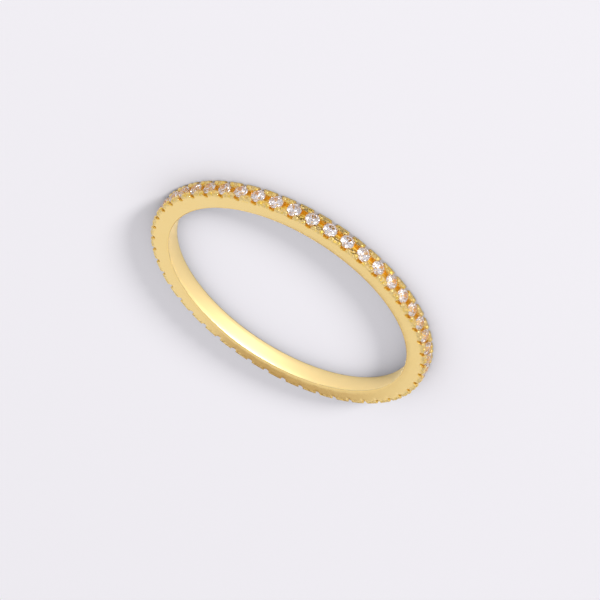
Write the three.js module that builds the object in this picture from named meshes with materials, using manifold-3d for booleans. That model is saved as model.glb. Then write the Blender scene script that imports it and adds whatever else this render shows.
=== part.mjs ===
// A stackable full-eternity ring. The band is one casting: a flat-sided hoop whose rim carries an
// open seat for each stone of a full circle of small round stones. Under every stone both flat
// sides are scalloped, and between two stones each edge of the rim rises into a pair of prongs.
// The stones themselves are not modelled here.
// Millimetres, +Z up. The ring lies on its side: its axis is +Z and its lower face is at z = 0.

import * as THREE from 'three';
import { mergeVertices } from 'three/addons/utils/BufferGeometryUtils.js';
import Module from 'manifold-3d';

const wasm = await Module();
wasm.setup();

// Driving dimensions
const INNER_RADIUS = 8.65;          // a 17.3 mm finger hole
const BAND_WIDTH = 1.2;             // from one flat side to the other
const PRONG_TOP_RADIUS = 10.05;     // outermost point of the ring
const NOTCH_FLOOR_RADIUS = 9.65;    // bottom of the scallop under each stone
const INNER_ROUNDING = 0.07;        // comfort rounding where the finger enters
const STONE_COUNT = 48;
const STONE_DIAMETER = 0.94;
const GIRDLE_RADIUS = 9.88;         // from the ring's axis to the widest plane of a stone

// Shape of one seat, scallop, prong and of the gallery between the two rows of prongs
const SEAT_CLEARANCE = 0.02;
const SEAT_FLOOR_RADIUS = 9.4;
const SEAT_FLOOR_WIDTH = 0.34;
const NOTCH_WIDTH = 0.36;
const PRONG_SHOULDER_RADIUS = 9.96;
const PRONG_TIP_LENGTH = 0.2;      // along the rim
const PRONG_OFFSET = 0.25;          // along the rim, from the middle of the block to the tip
const BLOCK_DIP_RADIUS = 9.96;      // the saddle between the two prongs of a pair
const GALLERY_FLOOR_RADIUS = 9.6;
const GALLERY_FLOOR_WIDTH = 0.2;
const GALLERY_MOUTH_WIDTH = 0.52;   // at the height of the prong tips

// Facets
const SEGMENTS_PER_STONE = 2;
const SEAT_SIDES = 8;
const NOTCH_ARC_STEPS = 2;
const ROUNDING_STEPS = 2;

const MID_Z = BAND_WIDTH / 2;
const CUT_MARGIN = 0.3;             // how far a cutting shape runs past what it cuts
const CUT_TOP_RADIUS = PRONG_TOP_RADIUS + CUT_MARGIN;
const STONE_STEP = (2 * Math.PI) / STONE_COUNT;
const HALF_PITCH = (STONE_STEP / 2) * GIRDLE_RADIUS;

function toSolid(geometry) {
  const bare = geometry.clone();
  bare.deleteAttribute('normal');
  bare.deleteAttribute('uv');
  const merged = mergeVertices(bare, 1e-5);
  const mesh = new wasm.Mesh({
    numProp: 3,
    vertProperties: new Float32Array(merged.attributes.position.array),
    triVerts: new Uint32Array(merged.index.array),
  });
  return new wasm.Manifold(mesh);
}

function toGeometry(solid) {
  const mesh = solid.getMesh();
  const geometry = new THREE.BufferGeometry();
  const positions = new Float32Array(mesh.vertProperties);
  geometry.setAttribute('position', new THREE.BufferAttribute(positions, 3));
  geometry.setIndex(new THREE.BufferAttribute(new Uint32Array(mesh.triVerts), 1));
  geometry.computeVertexNormals();
  return geometry;
}

// A ring turned about Z from a closed outline of [radius, z] corners.
function turnedRing(outline) {
  const profile = outline.map(([radius, z]) => new THREE.Vector2(radius, z));
  profile.push(profile[0].clone());
  return new THREE.LatheGeometry(profile, STONE_COUNT * SEGMENTS_PER_STONE).rotateX(Math.PI / 2);
}

// The quarter round that blends the finger hole into one flat side, from the hole outwards.
function innerEdge(side) {
  const corners = [];
  for (let step = 0; step <= ROUNDING_STEPS; step += 1) {
    const turn = (Math.PI / 2) * (step / ROUNDING_STEPS);
    const radius = INNER_RADIUS + INNER_ROUNDING * (1 - Math.cos(turn));
    const height = MID_Z + side * (MID_Z - INNER_ROUNDING * (1 - Math.sin(turn)));
    corners.push([radius, height]);
  }
  return corners;
}

// A plain flat-sided hoop, taller than the finished rim.
function hoopBlank() {
  const rim = [[CUT_TOP_RADIUS, 0], [CUT_TOP_RADIUS, BAND_WIDTH]];
  return turnedRing([...innerEdge(-1), ...rim, ...innerEdge(1).reverse()]);
}

// Half a pitch of the rim seen from the side, from the middle of a stone's scallop to the middle
// of the block beside it, as [distance along the rim, radius].
function halfPitchOutline() {
  const half = NOTCH_WIDTH / 2;
  const points = [];
  for (let step = 0; step <= NOTCH_ARC_STEPS; step += 1) {
    const turn = (Math.PI / 2) * (step / NOTCH_ARC_STEPS);
    points.push([half * Math.sin(turn), NOTCH_FLOOR_RADIUS + half * (1 - Math.cos(turn))]);
  }
  const tip = HALF_PITCH - PRONG_OFFSET;
  points.push([half, PRONG_SHOULDER_RADIUS]);
  points.push([tip - PRONG_TIP_LENGTH / 2, PRONG_TOP_RADIUS]);
  points.push([tip + PRONG_TIP_LENGTH / 2, PRONG_TOP_RADIUS]);
  points.push([HALF_PITCH, BLOCK_DIP_RADIUS]);
  return points;
}

// The whole rim seen from the side, as a thick plate without a hole.
function rimPlate() {
  const rising = halfPitchOutline();
  const falling = rising.slice(1, -1).map(([along, radius]) => [-along, radius]).reverse();
  const outline = [];
  for (let stone = 0; stone < STONE_COUNT; stone += 1) {
    for (const [along, radius] of [...falling, ...rising]) {
      const angle = stone * STONE_STEP + along / GIRDLE_RADIUS;
      outline.push(new THREE.Vector2(radius * Math.cos(angle), radius * Math.sin(angle)));
    }
  }
  const settings = { depth: BAND_WIDTH + 2 * CUT_MARGIN, bevelEnabled: false };
  return new THREE.ExtrudeGeometry(new THREE.Shape(outline), settings).translate(0, 0, -CUT_MARGIN);
}

// The sloping gallery that runs round the middle of the rim between the two rows of prongs.
function gallery() {
  const floor = GALLERY_FLOOR_WIDTH / 2;
  const mouth = GALLERY_MOUTH_WIDTH / 2;
  const slope = (mouth - floor) / (PRONG_TOP_RADIUS - GALLERY_FLOOR_RADIUS);
  const top = floor + slope * (CUT_TOP_RADIUS - GALLERY_FLOOR_RADIUS);
  return turnedRing([
    [GALLERY_FLOOR_RADIUS, MID_Z + floor],
    [GALLERY_FLOOR_RADIUS, MID_Z - floor],
    [CUT_TOP_RADIUS, MID_Z - top],
    [CUT_TOP_RADIUS, MID_Z + top],
  ]);
}

// The drilled seat of one stone: a cone for its point, then a straight wall round its girdle.
// X points away from the ring's axis and Y runs along the rim.
function seat() {
  const wallRadius = STONE_DIAMETER / 2 + SEAT_CLEARANCE;
  const profile = [
    new THREE.Vector2(0, SEAT_FLOOR_RADIUS),
    new THREE.Vector2(SEAT_FLOOR_WIDTH / 2, SEAT_FLOOR_RADIUS),
    new THREE.Vector2(wallRadius, GIRDLE_RADIUS - SEAT_CLEARANCE),
    new THREE.Vector2(wallRadius, CUT_TOP_RADIUS),
    new THREE.Vector2(0, CUT_TOP_RADIUS),
  ];
  return new THREE.LatheGeometry(profile, SEAT_SIDES).rotateZ(-Math.PI / 2).translate(0, 0, MID_Z);
}

function band() {
  let body = toSolid(hoopBlank()).intersect(toSolid(rimPlate())).subtract(toSolid(gallery()));
  for (let stone = 0; stone < STONE_COUNT; stone += 1) {
    body = body.subtract(toSolid(seat().rotateZ(stone * STONE_STEP)));
  }
  const gold = new THREE.MeshStandardMaterial({ color: 0xe8c66a, roughness: 0.25, metalness: 1.0 });
  const mesh = new THREE.Mesh(toGeometry(body), gold);
  mesh.name = 'band';
  return mesh;
}

const ring = new THREE.Group();
ring.add(band());

export default ring;
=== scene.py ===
# %% [markdown]
# # A stackable eternity ring
# The ring is a narrow gold hoop, 1.2 mm wide, with a full circle of small round stones set in its
# rim. It is worn stacked with other rings, so its two sides are flat. Its solid model is already
# made, and this lesson dresses that solid: it never moves or resizes it, but reads the ring's own
# sizes from it and works out every other place from those. Blender's unit is the metre, so the
# small sizes below are written in millimetres and multiplied by MM.

# %% Load the solid model
import math

import bmesh
import bpy
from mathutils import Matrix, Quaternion, Vector


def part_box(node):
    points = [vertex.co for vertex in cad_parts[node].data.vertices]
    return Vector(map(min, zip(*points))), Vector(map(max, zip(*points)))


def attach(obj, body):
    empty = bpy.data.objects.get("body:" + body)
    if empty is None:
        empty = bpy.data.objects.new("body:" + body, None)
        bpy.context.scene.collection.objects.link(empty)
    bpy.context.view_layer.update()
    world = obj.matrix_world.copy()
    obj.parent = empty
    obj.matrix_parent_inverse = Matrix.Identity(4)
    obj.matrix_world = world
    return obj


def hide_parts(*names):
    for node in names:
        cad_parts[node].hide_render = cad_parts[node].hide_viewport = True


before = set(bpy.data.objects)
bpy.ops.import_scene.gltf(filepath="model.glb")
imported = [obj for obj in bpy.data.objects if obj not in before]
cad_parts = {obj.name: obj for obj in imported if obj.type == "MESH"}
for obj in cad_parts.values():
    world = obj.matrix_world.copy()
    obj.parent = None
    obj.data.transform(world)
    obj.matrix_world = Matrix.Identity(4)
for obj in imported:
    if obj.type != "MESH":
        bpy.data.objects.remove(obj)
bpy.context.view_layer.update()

MM = 0.001

# %% [markdown]
# ## Measure before making
# The finger hole's radius, the radius over the prong tips and the width could be typed in, but a
# number that is typed twice drifts apart sooner or later. The band's mesh knows all three: the
# vertex nearest to the axis lies on the hole, and the farthest marks the prong tips.

# %% The ring's own sizes
band_low, band_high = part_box("band")
band_radii = [Vector(vertex.co[:2]).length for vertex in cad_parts["band"].data.vertices]
INNER_RADIUS = min(band_radii)
TIP_RADIUS = max(band_radii)
BAND_WIDTH = band_high.z - band_low.z
HALF_WIDTH = BAND_WIDTH / 2
MID_Z = (band_low.z + band_high.z) / 2
RING_CENTRE = Vector((0, 0, MID_Z))
print(f"finger hole {2 * INNER_RADIUS / MM:.2f} mm, outside {2 * TIP_RADIUS / MM:.2f} mm")
print(f"width {BAND_WIDTH / MM:.2f} mm")

# %% [markdown]
# ## One stone, one pitch
# A setter divides the rim evenly: one stone, a scallop on each side of it, and half a block of
# prongs to its left and right make one pitch. Everything on the rim repeats with this pitch, so it
# is the one length to know. Heights on the rim are given as a depth below the prong tips.

# %% Sizes of one pitch
STONE_COUNT = 48
STONE_STEP = 2 * math.pi / STONE_COUNT
STONE_RADIUS = 0.47 * MM
GIRDLE_RADIUS = TIP_RADIUS - 0.16 * MM
PITCH_RADIUS = TIP_RADIUS - 0.23 * MM
HALF_PITCH = PITCH_RADIUS * STONE_STEP / 2
print(f"pitch {2 * HALF_PITCH / MM:.3f} mm, stone {2 * STONE_RADIUS / MM:.2f} mm")

# %% [markdown]
# ## The camera
# Small jewellery is shot from well back with a long lens, so that the near and the far side of a
# ring look almost the same size. The camera stands a little under thirty degrees above the floor.
# It is also rolled, so that the far side of the ring is low in the frame. A roll is easiest to give
# as one more turn about the camera's own line of sight, after it has been aimed.

# %% Camera
CAMERA_AZIMUTH = math.radians(-0.48)
CAMERA_ELEVATION = math.radians(28.17)
CAMERA_ROLL = math.radians(-147.06)
CAMERA_DISTANCE = 287.7 * MM
CAMERA_LENS = 270
AIM_RIGHT = 0.587 * MM
AIM_UP = -0.387 * MM
CLIP_START = 0.01
CLIP_END = 20


def make_camera():
    """A long-lens camera that looks at the ring, a little off its centre."""
    data = bpy.data.cameras.new("camera")
    data.lens = CAMERA_LENS
    data.clip_start = CLIP_START
    data.clip_end = CLIP_END
    camera = bpy.data.objects.new("camera", data)
    bpy.context.scene.collection.objects.link(camera)
    flat = math.cos(CAMERA_ELEVATION)
    back = Vector((
        math.sin(CAMERA_AZIMUTH) * flat,
        -math.cos(CAMERA_AZIMUTH) * flat,
        math.sin(CAMERA_ELEVATION),
    ))
    turn = (-back).to_track_quat("-Z", "Y") @ Quaternion((0, 0, 1), CAMERA_ROLL)
    aim = RING_CENTRE + turn @ Vector((AIM_RIGHT, AIM_UP, 0))
    camera.rotation_mode = "QUATERNION"
    camera.rotation_quaternion = turn
    camera.location = aim + back * CAMERA_DISTANCE
    bpy.context.scene.camera = camera
    return camera


camera = make_camera()
print("camera height above the floor in mm:", round(camera.location.z / MM, 1))

# %% [markdown]
# ## Helpers for node trees
# Materials and Geometry Nodes are both trees of nodes with wires between their sockets. Made one
# call at a time they take pages, so these helpers make a node, set it up and wire it in one line.
# A value that is a socket is wired, and any other value is typed into the node's own field.

# %% Nodes and wires
FLOAT = "NodeSocketFloat"
INTEGER = "NodeSocketInt"
VECTOR = "NodeSocketVector"
GEOMETRY = "NodeSocketGeometry"
MATERIAL = "NodeSocketMaterial"


def fill(tree, socket, value):
    """Wires a socket into another one, or types a plain value into it."""
    if isinstance(value, bpy.types.NodeSocket):
        tree.links.new(value, socket)
    else:
        socket.default_value = value


def add_node(tree, kind, inputs=None, **settings):
    """Adds a node, sets its properties, and fills its inputs."""
    node = tree.nodes.new(kind)
    for name, value in settings.items():
        setattr(node, name, value)
    for key, value in (inputs or {}).items():
        fill(tree, node.inputs[key], value)
    return node


def math_node(tree, operation, *values, clamp=False):
    """A Math node on sockets or numbers; returns its result."""
    node = add_node(tree, "ShaderNodeMath", operation=operation, use_clamp=clamp)
    for place, value in enumerate(values):
        fill(tree, node.inputs[place], value)
    return node.outputs[0]


def mix_colours(tree, share, first, second):
    """A colour between two, by a share from 0 to 1."""
    node = add_node(tree, "ShaderNodeMix", {0: share, 6: first, 7: second}, data_type="RGBA")
    return node.outputs[2]


def new_tree(kind, name, inputs, outputs):
    """A tree with named inputs and outputs, and the two nodes that stand for them."""
    tree = bpy.data.node_groups.new(name, kind)
    for label, socket_type, default in inputs:
        socket = tree.interface.new_socket(name=label, in_out="INPUT", socket_type=socket_type)
        if default is not None:
            socket.default_value = default
    for label, socket_type in outputs:
        tree.interface.new_socket(name=label, in_out="OUTPUT", socket_type=socket_type)
    return tree, tree.nodes.new("NodeGroupInput"), tree.nodes.new("NodeGroupOutput")


print("node helpers ready")

# %% [markdown]
# ## From a geometry tree to a plain mesh
# A Geometry Nodes tree is a recipe: it takes a small mesh and some numbers and gives a large mesh.
# What leaves this scene has to be a plain mesh, so the recipe is run once and its result is kept.
# A modifier knows its inputs by short identifiers, not by the names that are shown, so the names
# are looked up in the tree. They are set before the object is evaluated for the first time, or the
# recipe would run with its defaults.

# %% Running a recipe


def new_piece(name, mesh):
    """An object at the origin that shows this mesh."""
    piece = bpy.data.objects.new(name, mesh)
    bpy.context.scene.collection.objects.link(piece)
    return piece


def triangle_count(mesh):
    return sum(len(face.vertices) - 2 for face in mesh.polygons)


def grow(name, tree, source_mesh, values):
    """Runs a geometry tree on a mesh and returns the result as a plain mesh object."""
    source = new_piece(name + "_source", source_mesh)
    modifier = source.modifiers.new(name, "NODES")
    modifier.node_group = tree
    for item in tree.interface.items_tree:
        if item.item_type == "SOCKET" and item.in_out == "INPUT" and item.name in values:
            modifier[item.identifier] = values[item.name]
    depsgraph = bpy.context.evaluated_depsgraph_get()
    grown = bpy.data.meshes.new_from_object(source.evaluated_get(depsgraph))
    source.modifiers.remove(modifier)
    bpy.data.objects.remove(source)
    grown.name = name
    print(f"{name}: {len(grown.vertices)} vertices, {triangle_count(grown)} triangles")
    return new_piece(name, grown)


print("recipe helper ready")

# %% [markdown]
# ## Where a point is on a ring
# Scratches on a ring run round it, and dirt gathers below its prongs, so the finishes need a ring's
# own directions: how far from the axis, how far along the rim, and how far from the middle plane.
# They could be painted as a texture, but a texture has a seam and a resolution. Here they are
# worked out from Object coordinates, once, in a shader group that the other groups share.

# %% Shader group: place on the ring


def make_ring_place():
    """Distance from the axis, along the rim and across from the middle, all in mm."""
    group, _, out = new_tree(
        "ShaderNodeTree", "ring_place", [],
        [("From Axis", FLOAT), ("Along", FLOAT), ("Across", FLOAT), ("Millimetres", VECTOR)],
    )
    coords = add_node(group, "ShaderNodeTexCoord")
    scaled = add_node(
        group, "ShaderNodeVectorMath",
        {0: coords.outputs["Object"], "Scale": 1 / MM}, operation="SCALE")
    parts = add_node(group, "ShaderNodeSeparateXYZ", {0: scaled.outputs[0]})
    x, y, z = parts.outputs
    x_square = math_node(group, "MULTIPLY", x, x)
    y_square = math_node(group, "MULTIPLY", y, y)
    angle = math_node(group, "ARCTAN2", y, x)
    radius = math_node(group, "SQRT", math_node(group, "ADD", x_square, y_square))
    fill(group, out.inputs["From Axis"], radius)
    fill(group, out.inputs["Along"], math_node(group, "MULTIPLY", angle, PITCH_RADIUS / MM))
    fill(group, out.inputs["Across"], math_node(group, "SUBTRACT", z, MID_Z / MM))
    fill(group, out.inputs["Millimetres"], scaled.outputs[0])
    return group


ring_place = make_ring_place()
print("ring_place has", len(ring_place.nodes), "nodes")

# %% [markdown]
# ## Satin lines and plating clouds
# The side of such a ring is finished on a wheel, which leaves very fine lines along the rim, and
# the gold on top is a plating whose tone drifts a little from place to place. Noise that is
# squeezed across the lines and stretched along them gives the lines, and slow noise the clouds.

# %% Shader group: brushing
LINES_DETAIL = 3.0
LINES_ROUGHNESS = 0.6
CLOUD_SCALE = 0.7


def make_brushing():
    """Fine lines along the rim, as a height, and the slow clouds of the plating."""
    group, given, out = new_tree(
        "ShaderNodeTree", "brushing",
        [("Lines per mm", FLOAT, 14.0), ("Length", FLOAT, 1.5)],
        [("Height", FLOAT), ("Cloud", FLOAT)],
    )
    place = add_node(group, "ShaderNodeGroup", node_tree=ring_place)
    fineness = given.outputs["Lines per mm"]
    stretched = add_node(group, "ShaderNodeCombineXYZ", {
        0: math_node(group, "MULTIPLY", place.outputs["From Axis"], fineness),
        1: math_node(group, "DIVIDE", place.outputs["Along"], given.outputs["Length"]),
        2: math_node(group, "MULTIPLY", place.outputs["Across"], fineness),
    })
    lines = add_node(group, "ShaderNodeTexNoise", {
        "Vector": stretched.outputs[0], "Scale": 1.0,
        "Detail": LINES_DETAIL, "Roughness": LINES_ROUGHNESS})
    cloud = add_node(group, "ShaderNodeTexNoise", {
        "Vector": place.outputs["Millimetres"], "Scale": CLOUD_SCALE, "Detail": 2.0})
    fill(group, out.inputs["Height"], lines.outputs["Fac"])
    fill(group, out.inputs["Cloud"], cloud.outputs["Fac"])
    return group


brushing = make_brushing()
print("brushing has", len(brushing.nodes), "nodes")

# %% [markdown]
# ## The hollows below the prongs
# Gold that faces gold looks deeper in colour, because the light is tinted at every bounce, and no
# wheel reaches it. Here that deeper colour is painted into the hollows as painted shade, with a
# faint painted glow. This mask is 0 on the open faces and grows to 1 down in the scallops, the
# seats and the gallery, the groove that runs between the two rows of prongs.

# %% Shader group: hollow
RIM_WALL_MM = 9.4


def make_hollow():
    """How deep a point lies below the prongs, from 0 to 1."""
    group, given, out = new_tree(
        "ShaderNodeTree", "hollow",
        [("Top", FLOAT, 9.94), ("Depth", FLOAT, 0.15), ("Side", FLOAT, 0.585)],
        [("Mask", FLOAT)],
    )
    place = add_node(group, "ShaderNodeGroup", node_tree=ring_place)
    below = math_node(group, "SUBTRACT", given.outputs["Top"], place.outputs["From Axis"])
    deep = math_node(group, "DIVIDE", below, given.outputs["Depth"], clamp=True)
    outside = math_node(group, "GREATER_THAN", place.outputs["From Axis"], RIM_WALL_MM)
    off_middle = math_node(group, "ABSOLUTE", place.outputs["Across"])
    between_sides = math_node(group, "LESS_THAN", off_middle, given.outputs["Side"])
    reachable = math_node(group, "MULTIPLY", outside, between_sides)
    fill(group, out.inputs["Mask"], math_node(group, "MULTIPLY", deep, reachable))
    return group


hollow = make_hollow()
print("hollow has", len(hollow.nodes), "nodes")

# %% [markdown]
# ## What hands leave behind
# A setter raises and pushes the metal with a hand tool, which leaves the blocks of prongs nuggety,
# and the edges of the finger hole are rubbed bright by wear. The lumps are noise that fades in at
# the rim, and the rub is strongest where the hole's edge meets a side.

# %% Shader group: hand marks
FADE_IN = 4.0
RUB_STARTS = 0.5
RUB_RISE = 10.0


def make_hand_marks():
    """Lumps on the rim, edges rubbed bright, and a mask of the rim itself."""
    group, given, out = new_tree(
        "ShaderNodeTree", "hand_marks",
        [("Lumps per mm", FLOAT, 5.0), ("Rim Starts", FLOAT, 9.62), ("Edge", FLOAT, 0.12)],
        [("Lumps", FLOAT), ("Rub", FLOAT), ("On Rim", FLOAT)],
    )
    place = add_node(group, "ShaderNodeGroup", node_tree=ring_place)
    bumpy = add_node(group, "ShaderNodeTexNoise", {
        "Vector": place.outputs["Millimetres"],
        "Scale": given.outputs["Lumps per mm"], "Detail": 3.0})
    above = math_node(group, "SUBTRACT", place.outputs["From Axis"], given.outputs["Rim Starts"])
    on_rim = math_node(group, "MULTIPLY", above, FADE_IN, clamp=True)
    level = math_node(group, "SUBTRACT", bumpy.outputs["Fac"], 0.5)
    inside = math_node(group, "SUBTRACT", place.outputs["From Axis"], INNER_RADIUS / MM)
    away = math_node(group, "DIVIDE", inside, given.outputs["Edge"], clamp=True)
    near_hole = math_node(group, "SUBTRACT", 1.0, away, clamp=True)
    off_middle = math_node(group, "ABSOLUTE", place.outputs["Across"])
    outward = math_node(group, "SUBTRACT", off_middle, RUB_STARTS)
    near_side = math_node(group, "MULTIPLY", outward, RUB_RISE, clamp=True)
    fill(group, out.inputs["Lumps"], math_node(group, "MULTIPLY", level, on_rim))
    fill(group, out.inputs["Rub"], math_node(group, "MULTIPLY", near_hole, near_side))
    fill(group, out.inputs["On Rim"], on_rim)
    return group


hand_marks = make_hand_marks()
print("hand_marks has", len(hand_marks.nodes), "nodes")

# %% [markdown]
# ## The tones of the gold
# Metal shows what it reflects, and the Principled shader's Base Color is the tint it gives to the
# reflections. One flat tint looks like paint. Four are mixed here: two for the drifting plating, a
# deeper one painted as shade into the hollows and the low places between lumps, and a paler one
# painted as a highlight on the inside wall.

# %% Tones of the gold
PALE_GOLD = (0.955, 0.72, 0.305, 1)
WARM_GOLD = (0.95, 0.69, 0.27, 1)
PAINTED_SHADE_GOLD = (1.0, 0.68, 0.13, 1)
WALL_HIGHLIGHT_GOLD = (0.962, 0.76, 0.365, 1)
LOWEST_DIP = -0.12


def gold_colour(tree, lines, recess, marks, inside_wall):
    """The tint of the metal at each place, with painted shade in the hollows and dips and a painted
    highlight on the inside wall.
    """
    clouded = mix_colours(tree, lines.outputs["Cloud"], PALE_GOLD, WARM_GOLD)
    dips = add_node(tree, "ShaderNodeMapRange", {0: marks.outputs["Lumps"], 1: 0.0, 2: LOWEST_DIP})
    # The deeper tint in the hollows and in the low places between lumps is painted shade.
    painted_shade_share = math_node(tree, "MAXIMUM", recess.outputs["Mask"], dips.outputs[0])
    coloured = mix_colours(tree, painted_shade_share, clouded, PAINTED_SHADE_GOLD)
    # The paler tint on the inside wall is a painted highlight.
    return mix_colours(tree, inside_wall, coloured, WALL_HIGHLIGHT_GOLD)


print("tones ready, deepest at", LOWEST_DIP, "of a lump")

# %% [markdown]
# ## The gloss of the gold
# Low roughness is a mirror and high roughness is satin. The real ring has both: the open faces and
# the rubbed edges are smoother, the inside wall and the hollows are duller. Each mark adds to a
# base value or takes from it, so one recipe serves the brushed band and, with a lower base, the
# polished prongs. A faint glow in the hollows stands for light trapped between gold walls.

# %% Gold materials
TRAPPED_GLOW = (0.07, 0.03, 0.0, 1)
NO_GLOW = (0, 0, 0, 1)
INSIDE_WALL_MM = INNER_RADIUS / MM + 0.03
WALL_ROUGHER = 0.2
HOLLOW_ROUGHER = 0.18
RIM_SMOOTHER = -0.1
LINES_ROUGHER = 0.08
RUB_SMOOTHER = -0.1


def gold_roughness(tree, base, lines, recess, marks, inside_wall):
    """How blurred the reflections are: a base value, and what each mark adds or takes away."""
    rough = math_node(tree, "MULTIPLY_ADD", inside_wall, WALL_ROUGHER, base)
    rough = math_node(tree, "MULTIPLY_ADD", recess.outputs["Mask"], HOLLOW_ROUGHER, rough)
    rough = math_node(tree, "MULTIPLY_ADD", marks.outputs["On Rim"], RIM_SMOOTHER, rough)
    rough = math_node(tree, "MULTIPLY_ADD", lines.outputs["Height"], LINES_ROUGHER, rough)
    return math_node(tree, "MULTIPLY_ADD", marks.outputs["Rub"], RUB_SMOOTHER, rough)


def make_gold(name, roughness, line_height, lump_height):
    """Gold with lines and lumps of the given heights in mm."""
    material = bpy.data.materials.new(name)
    material.use_nodes = True
    tree = material.node_tree
    shader = tree.nodes["Principled BSDF"]
    place = add_node(tree, "ShaderNodeGroup", node_tree=ring_place)
    lines = add_node(tree, "ShaderNodeGroup", node_tree=brushing)
    recess = add_node(tree, "ShaderNodeGroup", node_tree=hollow)
    marks = add_node(tree, "ShaderNodeGroup", node_tree=hand_marks)
    inside_wall = math_node(tree, "LESS_THAN", place.outputs["From Axis"], INSIDE_WALL_MM)
    colour = gold_colour(tree, lines, recess, marks, inside_wall)
    rough = gold_roughness(tree, roughness, lines, recess, marks, inside_wall)
    glow = mix_colours(tree, recess.outputs["Mask"], NO_GLOW, TRAPPED_GLOW)
    line_relief = math_node(tree, "MULTIPLY", lines.outputs["Height"], line_height)
    relief = math_node(tree, "MULTIPLY_ADD", marks.outputs["Lumps"], lump_height, line_relief)
    bump = add_node(tree, "ShaderNodeBump", {"Height": relief, "Distance": MM, "Strength": 1.0})
    shader.inputs["Metallic"].default_value = 1.0
    shader.inputs["Emission Strength"].default_value = 1.0
    fill(tree, shader.inputs["Base Color"], colour)
    fill(tree, shader.inputs["Roughness"], rough)
    fill(tree, shader.inputs["Emission Color"], glow)
    fill(tree, shader.inputs["Normal"], bump.outputs[0])
    print(f"{name}: {len(tree.nodes)} nodes")
    return material


satin_gold = make_gold("satin_gold", roughness=0.2, line_height=0.002, lump_height=0.13)
bright_gold = make_gold("bright_gold", roughness=0.12, line_height=0.0005, lump_height=0.06)

# %% [markdown]
# ## Clear stones
# A cut stone is glass with a high index: light enters, bounces between the facets and leaves as
# bright and dark patches. That is left to the renderer. Fine specks of grey and lilac are partly
# painted reflections, standing for the patches of facets that are too small to model, and partly
# the odd inclusion, and each stone is tinted a little differently by a number stored on it. Stones
# this small would sit in the dark if their own shadow kept the lamps out of their seats, so a
# shadow ray passes straight through.

# %% Stone material
STONE_INDEX = 2.15
SPECKS_PER_MM = 9.0
SPECKS_FROM = 0.52
SPECKS_TO = 0.64
CLEAR = (1.0, 0.985, 0.975, 1)
# The speck colour is partly painted facet reflection and partly inclusion.
FACET_REFLECTION_AND_INCLUSION = (0.6, 0.46, 0.54, 1)
COOL = (0.95, 0.9, 0.97, 1)
TINT_SHARE = 0.3


def stone_colour(tree):
    """Almost white, with fine specks that are partly painted facet reflections and partly
    inclusions, and a tint that differs from stone to stone.
    """
    tint = add_node(tree, "ShaderNodeAttribute", attribute_name="tint")
    place = add_node(tree, "ShaderNodeGroup", node_tree=ring_place)
    specks = add_node(tree, "ShaderNodeTexNoise", {
        "Vector": place.outputs["Millimetres"], "Scale": SPECKS_PER_MM,
        "Detail": 2.0, "Roughness": 0.7})
    sharper = add_node(tree, "ShaderNodeMapRange", {
        0: specks.outputs["Fac"], 1: SPECKS_FROM, 2: SPECKS_TO})
    speckled = mix_colours(tree, sharper.outputs[0], CLEAR, FACET_REFLECTION_AND_INCLUSION)
    share = math_node(tree, "MULTIPLY", tint.outputs["Fac"], TINT_SHARE)
    return mix_colours(tree, share, speckled, COOL)


def make_stone_material():
    material = bpy.data.materials.new("clear_stone")
    material.use_nodes = True
    tree = material.node_tree
    shader = tree.nodes["Principled BSDF"]
    shader.inputs["Roughness"].default_value = 0.0
    shader.inputs["IOR"].default_value = STONE_INDEX
    shader.inputs["Transmission Weight"].default_value = 1.0
    fill(tree, shader.inputs["Base Color"], stone_colour(tree))
    clear = add_node(tree, "ShaderNodeBsdfTransparent")
    path = add_node(tree, "ShaderNodeLightPath")
    mixed = add_node(tree, "ShaderNodeMixShader", {
        0: path.outputs["Is Shadow Ray"], 1: shader.outputs[0], 2: clear.outputs[0]})
    fill(tree, tree.nodes["Material Output"].inputs["Surface"], mixed.outputs[0])
    return material


clear_stone = make_stone_material()
print("clear_stone:", len(clear_stone.node_tree.nodes), "nodes")

# %% [markdown]
# ## The shape of the rim
# On the bench the rim is cut from a plain hoop: a groove all round (the gallery), a cone drilled for
# each stone (its seat), and a round-bottomed scallop filed into both sides under each stone, which
# lets light in and leaves the blocks that carry the prongs. Cutting solids from one another hundreds
# of times is slow and leaves untidy faces. The rim is better seen as a landscape: for each place
# along and across it there is one height, the lowest of what the groove, the seat and the scallop
# leave. Rounding the corner where two cuts meet keeps the polished look of worked metal.

# %% Depths of the cuts
BLOCK_TOP = TIP_RADIUS - 0.1 * MM
SCALLOP_FLOOR = TIP_RADIUS - 0.4 * MM
SCALLOP_HALF = 0.18 * MM
SCALLOP_WALL_SLOPE = 14
GALLERY_FLOOR = TIP_RADIUS - 0.45 * MM
GALLERY_FLOOR_HALF = 0.1 * MM
GALLERY_TOP_HALF = 0.24 * MM
SEAT_RADIUS = 0.48 * MM
SEAT_LEDGE = GIRDLE_RADIUS - 0.035 * MM
SEAT_FLOOR = TIP_RADIUS - 0.65 * MM
SEAT_SLOPE = 1.22
SEAT_WALL_SLOPE = 8
CORNER_SOFTNESS = 0.02 * MM


def softer_lowest(a, b):
    """The lower of two heights, with the corner between them rounded off."""
    mix = max(CORNER_SOFTNESS - abs(a - b), 0.0) / CORNER_SOFTNESS
    return min(a, b) - mix * mix * CORNER_SOFTNESS / 4


def gallery_height(across):
    """A groove with a flat floor and sloping walls."""
    slope = (abs(across) - GALLERY_FLOOR_HALF) / (GALLERY_TOP_HALF - GALLERY_FLOOR_HALF)
    return GALLERY_FLOOR + (BLOCK_TOP - GALLERY_FLOOR) * min(max(slope, 0.0), 1.0)


def seat_height(along, across):
    """A drilled cone with a flat end, and a steep wall outside the ledge."""
    reach = math.hypot(along, across)
    if reach > SEAT_RADIUS:
        return SEAT_LEDGE + (reach - SEAT_RADIUS) * SEAT_WALL_SLOPE
    return max(SEAT_FLOOR, SEAT_LEDGE - (SEAT_RADIUS - reach) * SEAT_SLOPE)


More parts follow.
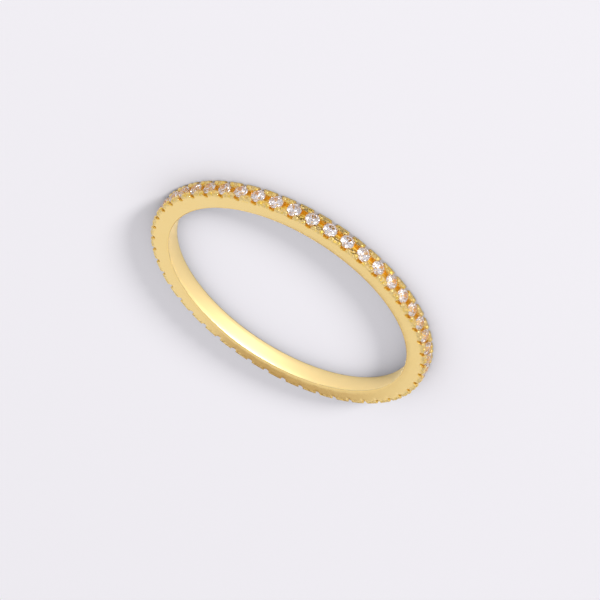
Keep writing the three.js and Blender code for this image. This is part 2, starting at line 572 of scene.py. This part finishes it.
def scallop_height(along):
    """A round-bottomed cut across the rim, with steep walls above the round."""
    beside = abs(along)
    if beside < SCALLOP_HALF:
        return SCALLOP_FLOOR + SCALLOP_HALF - math.sqrt(SCALLOP_HALF ** 2 - beside ** 2)
    return SCALLOP_FLOOR + SCALLOP_HALF + (beside - SCALLOP_HALF) * SCALLOP_WALL_SLOPE


def rim_height(along, across):
    """Distance from the ring's axis to the metal at a place on the rim, without the prongs."""
    height = softer_lowest(gallery_height(across), seat_height(along, across))
    return softer_lowest(height, scallop_height(along))


print(f"block tops {BLOCK_TOP / MM:.2f} mm, seat floor {rim_height(0, 0) / MM:.2f} mm from the axis")

# %% [markdown]
# ## One pitch as a mesh
# A landscape needs a grid. Its columns are closer together at the walls of the scallop, where the
# height changes fast, and farther apart on the blocks. Each column carries the whole closed outline
# of the band: up one side, across the rim, down the other side and back over the inside wall, which
# has well rounded edges because they touch the finger.

# %% Grid of one pitch
EDGE_ROUND = 0.045 * MM
INNER_ROUND = 0.07 * MM
COLUMNS_MM = (0, 0.045, 0.09, 0.13, 0.158, 0.174, 0.181, 0.19,
              0.205, 0.25, 0.31, 0.37, 0.43, 0.49, 0.54, 0.585)
ROWS_MM = (0, 0.06, 0.11, 0.155, 0.2, 0.245, 0.29, 0.33, 0.38, 0.43, 0.48, 0.53)
INNER_EDGE_STEPS = 4
OUTER_EDGE_STEPS = 3
SIDE_SHARES = (0.35, 0.7)
WALL_SHARES = (0.5, 0, -0.5)


def mirrored(right):
    """Adds the same places on the other side of the middle."""
    return [-step for step in reversed(right[1:])] + right


def quarter(steps):
    """Angles of a quarter turn, from its start to its end."""
    return [math.pi / 2 * step / steps for step in range(steps + 1)]


def half_outline(along):
    """From the hole's upper edge out over the upper side to the rim, as (radius, across)."""
    points = []
    for turn in quarter(INNER_EDGE_STEPS):
        radius = INNER_RADIUS + INNER_ROUND * (1 - math.cos(turn))
        points.append((radius, HALF_WIDTH - INNER_ROUND * (1 - math.sin(turn))))
    edge = rim_height(along, HALF_WIDTH - EDGE_ROUND)
    flat_start = INNER_RADIUS + INNER_ROUND
    flat_end = edge - EDGE_ROUND
    for share in SIDE_SHARES:
        points.append((flat_start + (flat_end - flat_start) * share, HALF_WIDTH))
    for turn in quarter(OUTER_EDGE_STEPS)[:-1]:
        radius = edge - EDGE_ROUND * (1 - math.sin(turn))
        points.append((radius, HALF_WIDTH - EDGE_ROUND * (1 - math.cos(turn))))
    return points


def outline(along):
    """The closed outline of the band at one column."""
    upper = half_outline(along)
    lower = [(radius, -across) for radius, across in upper]
    rows = mirrored([step * MM for step in ROWS_MM] + [HALF_WIDTH - EDGE_ROUND])
    rim = [(rim_height(along, across), across) for across in rows]
    wall = [(INNER_RADIUS, (HALF_WIDTH - INNER_ROUND) * share) for share in WALL_SHARES]
    return lower + rim + list(reversed(upper)) + wall


def pitch_mesh():
    """The band over one pitch, open at its two ends."""
    columns = mirrored([step * MM for step in COLUMNS_MM] + [HALF_PITCH])
    vertices = []
    for along in columns:
        angle = along / PITCH_RADIUS
        points = outline(along)
        for radius, across in points:
            vertices.append((radius * math.cos(angle), radius * math.sin(angle), MID_Z + across))
    rows = len(points)
    faces = []
    for column in range(len(columns) - 1):
        for row in range(rows):
            here, there = column * rows, (column + 1) * rows
            after = (row + 1) % rows
            faces.append((here + row, there + row, there + after, here + after))
    mesh = bpy.data.meshes.new("pitch")
    mesh.from_pydata(vertices, [], faces)
    return mesh


one_pitch = pitch_mesh()
print("one pitch has", len(one_pitch.polygons), "faces")

# %% [markdown]
# ## Round the circle
# Forty-eight copies of the pitch, each turned one step further, close into the band. An Array
# modifier could do it with a helper object, but a small geometry tree says it directly: duplicate,
# turn each copy about the ring's axis by its number, make the copies real, and weld the seams so
# that the result is one closed skin. Shading is smooth, except where two faces meet at a sharp
# angle, as at the mouth of a scallop.

# %% The band
WELD_DISTANCE = 1e-6
SHARP_ANGLE = math.radians(40)


def make_round_tree():
    """Repeats a mesh about the Z axis and welds the copies."""
    tree, given, out = new_tree(
        "GeometryNodeTree", "repeat_round_the_axis",
        [("Geometry", GEOMETRY, None), ("Count", INTEGER, 48), ("Weld Distance", FLOAT, 1e-6),
         ("Material", MATERIAL, None)],
        [("Geometry", GEOMETRY)],
    )
    instance = add_node(tree, "GeometryNodeGeometryToInstance", {0: given.outputs["Geometry"]})
    copies = add_node(
        tree, "GeometryNodeDuplicateElements",
        {"Geometry": instance.outputs[0], "Amount": given.outputs["Count"]}, domain="INSTANCE")
    step = math_node(tree, "DIVIDE", 2 * math.pi, given.outputs["Count"])
    angle = math_node(tree, "MULTIPLY", copies.outputs["Duplicate Index"], step)
    turn = add_node(tree, "ShaderNodeCombineXYZ", {2: angle})
    turned = add_node(tree, "GeometryNodeRotateInstances", {
        "Instances": copies.outputs["Geometry"], "Rotation": turn.outputs[0],
        "Local Space": False})
    real = add_node(tree, "GeometryNodeRealizeInstances", {0: turned.outputs[0]})
    welded = add_node(tree, "GeometryNodeMergeByDistance", {
        "Geometry": real.outputs[0], "Distance": given.outputs["Weld Distance"]})
    finish = add_node(tree, "GeometryNodeSetMaterial", {
        "Geometry": welded.outputs[0], "Material": given.outputs["Material"]})
    fill(tree, out.inputs[0], finish.outputs[0])
    return tree


band = grow("band_metal", make_round_tree(), one_pitch, {
    "Count": STONE_COUNT, "Weld Distance": WELD_DISTANCE, "Material": satin_gold})
band.data.shade_smooth()
band.data.set_sharp_from_angle(angle=SHARP_ANGLE)
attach(band, "root")
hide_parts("band")

# %% [markdown]
# ## The prong tips
# A block of metal stands between each two stones, and it carries four prongs, one at each corner.
# The setter pushes the head of each prong over the edge of the stone beside it. A head is a ball,
# a little longer than wide, with its sides pressed slightly flat. It could be cut from the block,
# but a separate ball gives the bright bead that sets the stone off. It is repeated 192 times, so
# it has few faces, and smooth shading does the rest.

# %% One prong tip
TIP_LENGTH = 0.39 * MM
TIP_WIDTH = 0.32 * MM
TIP_HEIGHT = 0.30 * MM
TIP_SQUARENESS = 0.95
TIP_SEGMENTS = 10
TIP_RINGS = 7


def prong_mesh():
    """A slightly squared ball: +X is outwards, Y along the rim, Z across it."""
    bm = bmesh.new()
    bmesh.ops.create_uvsphere(bm, u_segments=TIP_SEGMENTS, v_segments=TIP_RINGS, radius=1)
    half_size = Vector((TIP_HEIGHT, TIP_LENGTH, TIP_WIDTH)) / 2
    for vertex in bm.verts:
        squared = [math.copysign(abs(part) ** TIP_SQUARENESS, part) for part in vertex.co]
        vertex.co = Vector(squared) * half_size
    mesh = bpy.data.meshes.new("prong")
    bm.to_mesh(mesh)
    bm.free()
    mesh.shade_smooth()
    return mesh


one_prong = prong_mesh()
print("one prong tip has", len(one_prong.polygons), "faces")

# %% [markdown]
# ## Every corner of every block in one recipe
# The places could be listed in Python, but a tree keeps them as rules. Point number i belongs to
# block i / 4. Its lowest bit says left or right of the block's middle, and the next one says upper
# or lower row. Hand work is never even, so each tip is scaled and leaned by a little random amount
# with a fixed seed.

# %% Places of the prong tips
TIP_OFFSET = 0.255 * MM
TIP_ACROSS = HALF_WIDTH - 0.172 * MM
TIP_SUNK = 0.008 * MM
TIPS_PER_BLOCK = 4
LEAN = (0.12, 0.12, 0.06)


def sign_of_bit(tree, number):
    """-1 for an even number and +1 for an odd one."""
    return math_node(tree, "MULTIPLY_ADD", math_node(tree, "MODULO", number, 2), 2, -1)


def random_between(tree, low, high, seed):
    """A different number for each point, between two limits."""
    node = add_node(
        tree, "FunctionNodeRandomValue", {2: low, 3: high, "Seed": seed}, data_type="FLOAT")
    return node.outputs[1]


def tip_places(tree, given, index):
    """Where each tip goes, and how far round the ring it is."""
    along_sign = sign_of_bit(tree, index)
    across_sign = sign_of_bit(tree, math_node(tree, "FLOOR", math_node(tree, "DIVIDE", index, 2)))
    block = math_node(tree, "FLOOR", math_node(tree, "DIVIDE", index, TIPS_PER_BLOCK))
    step = math_node(tree, "DIVIDE", 2 * math.pi, given.outputs["Stones"])
    block_angle = math_node(tree, "MULTIPLY", math_node(tree, "ADD", block, 0.5), step)
    radius = given.outputs["Radius"]
    shift = math_node(tree, "DIVIDE", given.outputs["Offset Along"], radius)
    angle = math_node(tree, "MULTIPLY_ADD", along_sign, shift, block_angle)
    offset = given.outputs["Offset Across"]
    place = add_node(tree, "ShaderNodeCombineXYZ", {
        0: math_node(tree, "MULTIPLY", math_node(tree, "COSINE", angle), radius),
        1: math_node(tree, "MULTIPLY", math_node(tree, "SINE", angle), radius),
        2: math_node(tree, "MULTIPLY_ADD", across_sign, offset, given.outputs["Middle"]),
    })
    return place.outputs[0], angle


print("tips:", STONE_COUNT * TIPS_PER_BLOCK)

# %% [markdown]
# ## From places to prongs
# Points are made at the places, the ball is instanced on them, and each copy gets its own size and
# lean. The copies are then made real, because only real mesh leaves this scene.

# %% The prongs themselves


def make_prong_tree():
    """Puts a prong tip at every corner of every block."""
    tree, given, out = new_tree(
        "GeometryNodeTree", "prong_row",
        [("Prong", GEOMETRY, None), ("Stones", INTEGER, 48), ("Radius", FLOAT, 0.01),
         ("Offset Along", FLOAT, 0.00025), ("Offset Across", FLOAT, 0.0004),
         ("Middle", FLOAT, 0.0006), ("Unevenness", FLOAT, 0.06), ("Seed", INTEGER, 7),
         ("Material", MATERIAL, None)],
        [("Geometry", GEOMETRY)],
    )
    index = add_node(tree, "GeometryNodeInputIndex").outputs[0]
    count = math_node(tree, "MULTIPLY", given.outputs["Stones"], TIPS_PER_BLOCK)
    place, angle = tip_places(tree, given, index)
    points = add_node(tree, "GeometryNodePoints", {"Count": count, "Position": place})
    uneven = given.outputs["Unevenness"]
    seed = given.outputs["Seed"]
    smallest = math_node(tree, "SUBTRACT", 1, uneven)
    largest = math_node(tree, "ADD", 1, uneven)
    lean = add_node(tree, "FunctionNodeRandomValue", {
        0: [-part for part in LEAN], 1: LEAN, "Seed": seed}, data_type="FLOAT_VECTOR")
    facing = add_node(tree, "ShaderNodeCombineXYZ", {2: angle})
    turn = add_node(
        tree, "ShaderNodeVectorMath", {0: facing.outputs[0], 1: lean.outputs[0]}, operation="ADD")
    instances = add_node(tree, "GeometryNodeInstanceOnPoints", {
        "Points": points.outputs[0], "Instance": given.outputs["Prong"],
        "Rotation": turn.outputs[0], "Scale": random_between(tree, smallest, largest, seed)})
    real = add_node(tree, "GeometryNodeRealizeInstances", {0: instances.outputs[0]})
    finish = add_node(tree, "GeometryNodeSetMaterial", {
        "Geometry": real.outputs[0], "Material": given.outputs["Material"]})
    fill(tree, out.inputs[0], finish.outputs[0])
    return tree


prongs = grow("prongs", make_prong_tree(), one_prong, {
    "Stones": STONE_COUNT, "Radius": TIP_RADIUS - TIP_HEIGHT / 2 - TIP_SUNK,
    "Offset Along": TIP_OFFSET, "Offset Across": TIP_ACROSS, "Middle": MID_Z,
    "Unevenness": 0.05, "Seed": 7, "Material": bright_gold})
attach(prongs, "root")

# %% [markdown]
# ## One brilliant-cut stone
# The classic round cut has a flat table on top, a crown of star, kite and upper girdle facets, a
# thin girdle and a pointed pavilion below. All of its corners lie on circles round the stone's
# axis, so the mesh is six circles of corners joined by a pattern that repeats eight times. Each
# facet is one flat face, and the shading stays flat, because the crisp edges make the sparkle.

# %% Facets
FOLD = 8
TABLE_SHARE = 0.56
CROWN_HEIGHT = 0.15 * MM
GIRDLE_THICKNESS = 0.03 * MM
PAVILION_DEPTH = 0.4 * MM
CROWN_BREAK = 0.56
PAVILION_BREAK = 0.26


def corners(count, offset, radius, height):
    """Corners on a circle round the stone's axis, which is +X."""
    angles = [2 * math.pi * (corner + offset) / count for corner in range(count)]
    return [(height, radius * math.cos(angle), radius * math.sin(angle)) for angle in angles]


def corner_circles():
    """Table, crown, upper girdle, lower girdle, pavilion and culet."""
    table = STONE_RADIUS * TABLE_SHARE
    lean = math.cos(math.pi / FOLD)
    crown = table + (STONE_RADIUS - table) * CROWN_BREAK
    crown_height = CROWN_HEIGHT * (STONE_RADIUS - crown * lean) / (STONE_RADIUS - table)
    pavilion_height = -GIRDLE_THICKNESS - PAVILION_DEPTH * (1 - PAVILION_BREAK * lean)
    return [
        corners(FOLD, 0, table, CROWN_HEIGHT),
        corners(FOLD, 0.5, crown, crown_height),
        corners(2 * FOLD, 0, STONE_RADIUS, 0),
        corners(2 * FOLD, 0, STONE_RADIUS, -GIRDLE_THICKNESS),
        corners(FOLD, 0.5, STONE_RADIUS * PAVILION_BREAK, pavilion_height),
        [(-GIRDLE_THICKNESS - PAVILION_DEPTH, 0, 0)],
    ]


def facet_faces(table, crown, upper, lower, pavilion, culet):
    """The faces, from the number of the first corner on each circle."""
    faces = [tuple(table + i for i in range(FOLD))]
    for i in range(FOLD):
        after, before = (i + 1) % FOLD, (i - 1) % FOLD
        here, middle, there = 2 * i, 2 * i + 1, (2 * i + 2) % (2 * FOLD)
        faces.append((table + i, crown + i, table + after))
        faces.append((table + i, crown + before, upper + here, crown + i))
        for start, end in ((here, middle), (middle, there)):
            faces.append((crown + i, upper + start, upper + end))
            faces.append((upper + start, lower + start, lower + end, upper + end))
            faces.append((lower + start, pavilion + i, lower + end))
        faces.append((culet, pavilion + i, lower + here, pavilion + before))
    return faces


def stone_mesh():
    """The closed stone, with its faces turned outwards."""
    circles = corner_circles()
    starts = [sum(len(circle) for circle in circles[:place]) for place in range(len(circles))]
    mesh = bpy.data.meshes.new("stone")
    mesh.from_pydata([point for circle in circles for point in circle], [], facet_faces(*starts))
    bm = bmesh.new()
    bm.from_mesh(mesh)
    bmesh.ops.recalc_face_normals(bm, faces=bm.faces)
    bm.to_mesh(mesh)
    bm.free()
    return mesh


one_stone = stone_mesh()
print("one stone has", len(one_stone.polygons), "facets")

# %% [markdown]
# ## Setting the stones
# The stones stand on a circle of points, one a pitch, and look straight out. A setter drops each
# one in as it comes, so its facets point any way round, and it never sits perfectly level: both are
# random numbers with a fixed seed. One more random number is stored as an attribute called tint,
# before the copies are made real, and the stone material reads it.

# %% The stones


def make_stone_tree():
    """Sets one stone a pitch, each spun, tilted and tinted a little differently."""
    tree, given, out = new_tree(
        "GeometryNodeTree", "stone_row",
        [("Stone", GEOMETRY, None), ("Count", INTEGER, 48), ("Radius", FLOAT, 0.0098),
         ("Middle", FLOAT, 0.0006), ("Tilt", FLOAT, 0.02), ("Seed", INTEGER, 3),
         ("Material", MATERIAL, None)],
        [("Geometry", GEOMETRY)],
    )
    index = add_node(tree, "GeometryNodeInputIndex").outputs[0]
    step = math_node(tree, "DIVIDE", 2 * math.pi, given.outputs["Count"])
    angle = math_node(tree, "MULTIPLY", index, step)
    circle = add_node(tree, "GeometryNodeMeshCircle", {
        "Vertices": given.outputs["Count"], "Radius": given.outputs["Radius"]})
    lift = add_node(tree, "ShaderNodeCombineXYZ", {2: given.outputs["Middle"]})
    raised = add_node(tree, "GeometryNodeSetPosition", {
        "Geometry": circle.outputs[0], "Offset": lift.outputs[0]})
    seeds = [math_node(tree, "ADD", given.outputs["Seed"], number) for number in range(4)]
    most = given.outputs["Tilt"]
    least = math_node(tree, "MULTIPLY", most, -1)
    spin = random_between(tree, 0.0, 2 * math.pi, seeds[0])
    tilt = random_between(tree, least, most, seeds[1])
    swing = random_between(tree, least, most, seeds[2])
    turn = add_node(tree, "ShaderNodeCombineXYZ", {
        0: spin, 1: tilt, 2: math_node(tree, "ADD", angle, swing)})
    instances = add_node(tree, "GeometryNodeInstanceOnPoints", {
        "Points": raised.outputs[0], "Instance": given.outputs["Stone"],
        "Rotation": turn.outputs[0]})
    tinted = add_node(
        tree, "GeometryNodeStoreNamedAttribute",
        {"Geometry": instances.outputs[0], "Name": "tint"}, data_type="FLOAT", domain="INSTANCE")
    fill(tree, tinted.inputs["Value"], random_between(tree, 0.0, 1.0, seeds[3]))
    real = add_node(tree, "GeometryNodeRealizeInstances", {0: tinted.outputs[0]})
    finish = add_node(tree, "GeometryNodeSetMaterial", {
        "Geometry": real.outputs[0], "Material": given.outputs["Material"]})
    fill(tree, out.inputs[0], finish.outputs[0])
    return tree


stones = grow("stones", make_stone_tree(), one_stone, {
    "Count": STONE_COUNT, "Radius": GIRDLE_RADIUS, "Middle": MID_Z, "Tilt": 0.03, "Seed": 3,
    "Material": clear_stone})
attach(stones, "root")

# %% [markdown]
# ## The floor
# The ring lies on a plain pale tabletop. It is far larger than the frame, so no edge shows, and it
# is matt, so that nothing but the ring shines.

# %% Floor
FLOOR_HALF = 3.0
FLOOR_GAP = 0.003 * MM
PALE_LILAC = (0.915, 0.893, 0.928)


def plain_material(name, colour, roughness, specular):
    material = bpy.data.materials.new(name)
    material.use_nodes = True
    shader = material.node_tree.nodes["Principled BSDF"]
    shader.inputs["Base Color"].default_value = (*colour, 1)
    shader.inputs["Roughness"].default_value = roughness
    shader.inputs["Specular IOR Level"].default_value = specular
    return material


def flat_sheet(name, sheet_corners, material):
    """One flat face with the given material."""
    mesh = bpy.data.meshes.new(name)
    mesh.from_pydata(sheet_corners, [], [tuple(range(len(sheet_corners)))])
    mesh.materials.append(material)
    sheet = new_piece(name, mesh)
    return sheet


floor_z = band_low.z - FLOOR_GAP
quarters = ((-1, -1), (1, -1), (1, 1), (-1, 1))
floor_corners = [(x * FLOOR_HALF, y * FLOOR_HALF, floor_z) for x, y in quarters]
pale_floor = plain_material("pale_floor", PALE_LILAC, roughness=0.9, specular=0.1)
floor = flat_sheet("floor", floor_corners, pale_floor)
print("floor:", 2 * FLOOR_HALF, "m square")

# %% [markdown]
# ## The lamps
# Polished metal shows its surroundings, so lighting it means choosing what it reflects. A big weak
# lamp is a soft patch in the gold, and a small strong one a spark. One lamp can't do everything
# here, so the work is shared: the key models the metal, the floor key throws the soft shadow, and
# two lamps make the stones sparkle. Those four fall only on what they are meant for, which
# Blender calls light linking. A weak fill from the back falls on everything.

# %% Lamps from afar


def aim_lamp(name, direction, distance, size, power):
    """A round soft lamp at a distance from the ring, turned to face it."""
    data = bpy.data.lights.new(name, "AREA")
    data.shape = "DISK"
    data.size = size
    data.energy = power
    lamp = bpy.data.objects.new(name, data)
    bpy.context.scene.collection.objects.link(lamp)
    way = Vector(direction).normalized()
    lamp.location = RING_CENTRE + way * distance
    lamp.rotation_mode = "QUATERNION"
    lamp.rotation_quaternion = way.to_track_quat("Z", "Y")
    return lamp


def light_only(lamp, receivers):
    """Lets a lamp fall on the given objects alone."""
    group = bpy.data.collections.new(lamp.name + "_receivers")
    for receiver in receivers:
        group.objects.link(receiver)
    lamp.light_linking.receiver_collection = group


key = aim_lamp("key", (-0.45, -0.9, 0.55), distance=0.6, size=0.3, power=0.5)
floor_key = aim_lamp("floor_key", (-0.3, -0.95, 0.2), distance=1.5, size=0.24, power=31)
sparkle_left = aim_lamp("sparkle_left", (-0.5, -0.8, 0.6), distance=0.6, size=0.26, power=0.42)
sparkle_right = aim_lamp("sparkle_right", (0.6, -0.7, 0.5), distance=0.6, size=0.12, power=0.2)
back_fill = aim_lamp("back_fill", (0.05, 1.0, 0.55), distance=0.6, size=0.5, power=0.15)
light_only(key, [band, prongs])
light_only(floor_key, [floor])
light_only(sparkle_left, [stones])
light_only(sparkle_right, [stones])

# %% [markdown]
# ## A strip for the inside wall
# The inside wall at the far side faces the near side of the ring, so a lamp far away can hardly
# reach it. A strip a few millimetres long is held just above the finger hole, near its front,
# hidden from the camera, and aimed at the wall. It keeps inside the hole's outline, because a lamp
# that hung over the flat side would leave a bright patch there.

# %% Inside strip
STRIP_LENGTH = 7 * MM
STRIP_HEIGHT = 2 * MM
STRIP_POWER = 0.0031
STRIP_PLACE = Vector((-1.6, -6.8, 2.6)) * MM
STRIP_AIM = Vector((0.8, 8.6, 0.6)) * MM


def make_inner_fill():
    """A small strip lamp in the finger hole that lights the far inside wall alone."""
    data = bpy.data.lights.new("inner_fill", "AREA")
    data.shape = "RECTANGLE"
    data.size = STRIP_LENGTH
    data.size_y = STRIP_HEIGHT
    data.energy = STRIP_POWER
    lamp = bpy.data.objects.new("inner_fill", data)
    bpy.context.scene.collection.objects.link(lamp)
    lamp.location = STRIP_PLACE
    lamp.rotation_mode = "QUATERNION"
    lamp.rotation_quaternion = (STRIP_AIM - STRIP_PLACE).to_track_quat("-Z", "Y")
    lamp.visible_camera = False
    light_only(lamp, [band])
    return lamp


inner_fill = make_inner_fill()
print("strip height above the floor in mm:", round(inner_fill.location.z / MM, 1))

# %% [markdown]
# ## Cards that only show in reflections
# In a studio, black and coloured cards are held round polished metal to give it contrast. The
# dark strip follows the near rim on the table and draws the thin dark marks under the prongs. The
# warm card stands behind the ring and deepens the far side's gold. Neither is seen by the camera,
# casts a shadow, or changes the light on the floor.

# %% Reflection cards
DARK_STRIP_INNER = 10.25 * MM
DARK_STRIP_OUTER = 11.3 * MM
DARK_STRIP_START = 254
DARK_STRIP_END = 286
DARK_STRIP_STEPS = 16
DARK_STRIP_Z = band_low.z - 0.001 * MM
WARM_CARD_LEFT = -9.5 * MM
WARM_CARD_RIGHT = 3.2 * MM
WARM_CARD_Y = 40 * MM
WARM_CARD_TOP = 19.5 * MM
NEARLY_BLACK = (0.02, 0.006, 0.006)
WARM_BROWN = (0.53, 0.38, 0.2)


def arc_points(radius, turns):
    return [(radius * math.cos(turn), radius * math.sin(turn), DARK_STRIP_Z) for turn in turns]


def dark_strip_corners():
    """A flat strip on the table that follows the ring."""
    sweep = DARK_STRIP_END - DARK_STRIP_START
    shares = [step / DARK_STRIP_STEPS for step in range(DARK_STRIP_STEPS + 1)]
    turns = [math.radians(DARK_STRIP_START + sweep * share) for share in shares]
    return arc_points(DARK_STRIP_INNER, turns) + arc_points(DARK_STRIP_OUTER, turns[::-1])


def warm_card_corners():
    """An upright card behind the ring."""
    bottom = [(WARM_CARD_LEFT, WARM_CARD_Y, 0), (WARM_CARD_RIGHT, WARM_CARD_Y, 0)]
    top = [(x, y, WARM_CARD_TOP) for x, y, _ in reversed(bottom)]
    return bottom + top


def reflection_card(name, card_corners, colour):
    card = flat_sheet(name, card_corners, plain_material(name, colour, 1.0, 0.0))
    card.visible_camera = False
    card.visible_shadow = False
    card.visible_diffuse = False
    return card


dark_strip = reflection_card("dark_strip", dark_strip_corners(), NEARLY_BLACK)
warm_card = reflection_card("warm_card", warm_card_corners(), WARM_BROWN)
print("cards:", dark_strip.name, warm_card.name)

# %% [markdown]
# ## The room and the light's path
# A pale, even room does most of the lighting. Light that enters a stone is passed between many
# facets and gold walls before it leaves, and each time counts as a bounce, so the limits are
# raised, or the stones and hollows would turn grey. Light that the ring throws back on the table
# is left out: it takes very many samples, and it would flood the table inside the ring.

# %% Room
ROOM_COLOUR = (0.98, 0.98, 1.0, 1)
ROOM_STRENGTH = 0.68
world = bpy.data.worlds.new("studio")
bpy.context.scene.world = world
world.use_nodes = True
background = world.node_tree.nodes["Background"]
background.inputs["Color"].default_value = ROOM_COLOUR
background.inputs["Strength"].default_value = ROOM_STRENGTH
bpy.context.scene.view_settings.view_transform = "Standard"
light_paths = bpy.context.scene.cycles
light_paths.max_bounces = 24
light_paths.glossy_bounces = 16
light_paths.transmission_bounces = 20
light_paths.caustics_reflective = False
print("bounces:", light_paths.max_bounces)
